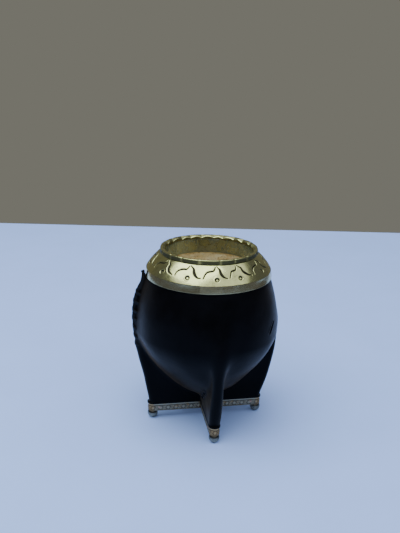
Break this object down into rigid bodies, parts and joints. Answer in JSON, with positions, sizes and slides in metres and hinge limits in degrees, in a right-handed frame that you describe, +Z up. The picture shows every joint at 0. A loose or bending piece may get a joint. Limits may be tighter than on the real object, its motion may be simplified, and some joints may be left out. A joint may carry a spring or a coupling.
{
  "type": "leather covered gourd cup",
  "caption": "Egg-shaped gourd cup in black leather with a metal rim around its mouth, standing on a cross-shaped finned base with ball feet.",
  "frame": {"origin": "on the resting plane, under the centre of the base's cross", "axes": "+Z up out of the mouth, +X to the leg opposite the laced seam, -Y to the front leg"},
  "size_m": [0.0938, 0.0904, 0.1146],
  "materials": {
    "gourd": "dry and rough, mottled inside",
    "leather": "smooth black, semi-matt",
    "lacing": "black thong, semi-matt",
    "rim_metal": "pale, hand polished",
    "trim_metal": "embossed, darkened in the low places",
    "ball_metal": "polished",
    "stud_metal": "plain",
    "tack_metal": "reddish, dull",
    "base_wood": "stained dark, unvarnished",
    "bedding": "set resin"
  },
  "bodies": {
    "root": {"ball_foot_back": "ball_metal", "ball_foot_front": "ball_metal", "ball_foot_left": "ball_metal", "ball_foot_right": "ball_metal", "base_bar_front": "base_wood", "base_bar_side": "base_wood", "foot_studs": "stud_metal", "gourd_shell": "gourd", "leather_cover": "leather", "leg_web_back": "base_wood", "leg_web_front": "base_wood", "leg_web_left": "base_wood", "leg_web_right": "base_wood", "rim_band": "rim_metal", "rim_bedding": "bedding", "rim_lip": "rim_metal", "rim_shoulder": "rim_metal", "rim_sleeve": "rim_metal", "seam_lacing": "lacing", "trim_strip_back": "trim_metal", "trim_strip_front": "trim_metal", "trim_strip_left": "trim_metal", "trim_strip_right": "trim_metal", "trim_tacks": "tack_metal"}
  },
  "joints": []
}
